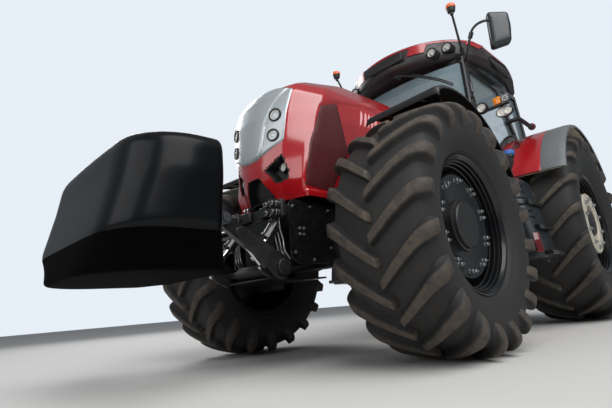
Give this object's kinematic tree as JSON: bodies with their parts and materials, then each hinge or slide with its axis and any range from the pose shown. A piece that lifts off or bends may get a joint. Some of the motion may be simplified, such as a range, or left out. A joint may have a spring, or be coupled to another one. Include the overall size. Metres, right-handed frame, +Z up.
{
  "type": "farm tractor",
  "caption": "Large red farm tractor with a glazed cab, lugged tyres, steered front wheels, an opening hood and doors, a front linkage carrying a black cast weight and a rear linkage.",
  "frame": {"origin": "on the ground, at the middle of the whole machine's length and width", "axes": "+X forward, +Y to the driver's left, +Z up; the wheels turn about Y"},
  "size_m": [6.595, 2.95, 3.47],
  "materials": {
    "red_paint": "gloss",
    "silver_paint": "satin",
    "black_steel": "satin",
    "black_rim": "gloss",
    "cream_paint": "satin",
    "cast_iron": "matte",
    "bright_steel": "satin",
    "chrome_rod": "polished",
    "tyre": "matte",
    "dark_plastic": "matte",
    "grey_plastic": "matte",
    "blue_plastic": "gloss",
    "clear_lens": "clear",
    "orange_lens": "clear",
    "tinted_glass": "clear",
    "seat_cloth": "matte"
  },
  "bodies": {
    "chassis": {"front_axle": "cast_iron", "engine_block": "cast_iron", "front_frame": "cast_iron", "transmission": "cast_iron", "drawbar": "black_steel", "cab_floor": "black_steel", "cab_frame": "black_steel", "cab_glass": "tinted_glass", "cab_roof": "dark_plastic", "roof_lamps": "clear_lens", "beacons": "orange_lens", "mirrors": "dark_plastic", "rear_fenders": "red_paint", "fender_bands": "grey_plastic", "fuel_tank": "dark_plastic", "battery_box": "dark_plastic", "cab_steps": "black_steel", "tank_cap": "blue_plastic", "roof_plate": "dark_plastic", "pillar_lamps": "dark_plastic", "exhaust": "black_steel", "seat": "seat_cloth", "steering_column": "dark_plastic", "side_console": "dark_plastic", "hood_bracket": "cast_iron"},
    "hood": {"hood_shell": "red_paint", "hood_mask": "silver_paint", "side_screens": "red_paint", "headlamps": "clear_lens"},
    "door_left": {"door_frame_left": "black_steel", "door_glass_left": "tinted_glass"},
    "door_right": {"door_frame_right": "black_steel", "door_glass_right": "tinted_glass"},
    "knuckle_l": {"knuckle_left": "cast_iron", "front_fender_left": "dark_plastic"},
    "knuckle_r": {"knuckle_right": "cast_iron", "front_fender_right": "dark_plastic"},
    "front_wheel_l": {"front_rim_left": "black_rim", "front_tyre_left": "tyre"},
    "front_wheel_r": {"front_rim_right": "black_rim", "front_tyre_right": "tyre"},
    "rear_wheel_l": {"rear_rim_left": "black_rim", "rear_tyre_left": "tyre", "rear_disc_left": "cream_paint"},
    "rear_wheel_r": {"rear_rim_right": "black_rim", "rear_tyre_right": "tyre", "rear_disc_right": "cream_paint"},
    "tie_rods": {"steering_rods": "bright_steel"},
    "lift_arms": {"front_arms": "black_steel"},
    "weight": {"front_weight": "black_steel"},
    "upper_link": {"front_top_link": "black_steel"},
    "lift_barrels": {"front_lift_cylinders": "black_steel"},
    "lift_pistons": {"front_lift_rods": "chrome_rod"},
    "rocker": {"rear_rocker_arms": "black_steel"},
    "lower_links": {"rear_lower_links": "black_steel"},
    "hitch_rods": {"rear_lift_rods": "bright_steel"},
    "stowed_link": {"rear_top_link": "bright_steel"}
  },
  "joints": [
    {"name": "steer_left", "type": "hinge", "parent": "chassis", "child": "knuckle_l", "pos_m": [1.2775, 0.85, 0.82], "axis": [0, 0, 1], "range_deg": [-30, 30]},
    {"name": "steer_right", "type": "hinge", "parent": "chassis", "child": "knuckle_r", "pos_m": [1.2775, -0.85, 0.82], "axis": [0, 0, 1], "range_deg": [-30, 30]},
    {"name": "tie_rod_slide", "type": "slide", "parent": "chassis", "child": "tie_rods", "axis": [0, 1, 0], "range_m": [-0.125, 0.125]},
    {"name": "spin_front_left", "type": "hinge", "parent": "knuckle_l", "child": "front_wheel_l", "pos_m": [1.2775, 1.07, 0.82], "axis": [0, 1, 0], "continuous": true},
    {"name": "spin_front_right", "type": "hinge", "parent": "knuckle_r", "child": "front_wheel_r", "pos_m": [1.2775, -1.07, 0.82], "axis": [0, 1, 0], "continuous": true},
    {"name": "spin_rear_left", "type": "hinge", "parent": "chassis", "child": "rear_wheel_l", "pos_m": [-1.6925, 1.12, 1.04], "axis": [0, 1, 0], "continuous": true},
    {"name": "spin_rear_right", "type": "hinge", "parent": "chassis", "child": "rear_wheel_r", "pos_m": [-1.6925, -1.12, 1.04], "axis": [0, 1, 0], "continuous": true},
    {"name": "hood_tilt", "type": "hinge", "parent": "chassis", "child": "hood", "pos_m": [-0.0525, 0, 2.24], "axis": [0, -1, 0], "range_deg": [0, 50]},
    {"name": "door_left_swing", "type": "hinge", "parent": "chassis", "child": "door_left", "pos_m": [-0.2395, 0.88959, 1.45101], "axis": [0.1611, 0.0533, -0.9855], "range_deg": [0, 65]},
    {"name": "door_right_swing", "type": "hinge", "parent": "chassis", "child": "door_right", "pos_m": [-0.2395, -0.88959, 1.45101], "axis": [-0.1611, 0.0533, 0.9855], "range_deg": [0, 65]},
    {"name": "front_lift", "type": "hinge", "parent": "chassis", "child": "lift_arms", "pos_m": [2.0475, 0, 0.66], "axis": [0, 1, 0], "range_deg": [0, 50]},
    {"name": "weight_level", "type": "hinge", "parent": "lift_arms", "child": "weight", "pos_m": [2.492, 0, 0.94866], "axis": [0, 1, 0], "range_deg": [-50, 0]},
    {"name": "upper_link_tilt", "type": "hinge", "parent": "chassis", "child": "upper_link", "pos_m": [2.0475, 0, 0.876], "axis": [0, 1, 0], "range_deg": [0, 50]},
    {"name": "lift_barrel_tilt", "type": "hinge", "parent": "chassis", "child": "lift_barrels", "pos_m": [1.9575, 0, 1.03], "axis": [0, 1, 0], "range_deg": [0, 8]},
    {"name": "lift_piston_stroke", "type": "slide", "parent": "lift_barrels", "child": "lift_pistons", "axis": [0.6211, 0, -0.7837], "range_m": [0, 0.13]},
    {"name": "rear_lift", "type": "hinge", "parent": "chassis", "child": "rocker", "pos_m": [-2.1425, 0, 1.275], "axis": [0, 1, 0], "range_deg": [-25, 20]},
    {"name": "lower_link_tilt", "type": "hinge", "parent": "chassis", "child": "lower_links", "pos_m": [-2.0225, 0, 0.61], "axis": [0, 1, 0], "range_deg": [-22, 18]},
    {"name": "hitch_rod_tilt", "type": "hinge", "parent": "rocker", "child": "hitch_rods", "pos_m": [-2.59998, 0, 1.32308], "axis": [0, 1, 0], "range_deg": [-21, 26]},
    {"name": "stowed_link_swing", "type": "hinge", "parent": "chassis", "child": "stowed_link", "pos_m": [-2.1425, 0, 1.05], "axis": [0, 1, 0], "range_deg": [-60, 10]}
  ],
  "couplings": [
    {"joint": "steer_right", "follows": "steer_left", "ratio": 1},
    {"joint": "tie_rod_slide", "follows": "steer_left", "m_per_rad": 0.2187},
    {"joint": "weight_level", "follows": "front_lift", "ratio": -1},
    {"joint": "upper_link_tilt", "follows": "front_lift", "ratio": 1},
    {"joint": "lift_barrel_tilt", "follows": "front_lift", "ratio": 0.14795},
    {"joint": "lift_piston_stroke", "follows": "front_lift", "m_per_rad": 0.14387},
    {"joint": "lower_link_tilt", "follows": "rear_lift", "ratio": 0.85475},
    {"joint": "hitch_rod_tilt", "follows": "rear_lift", "ratio": -1.0047}
  ]
}
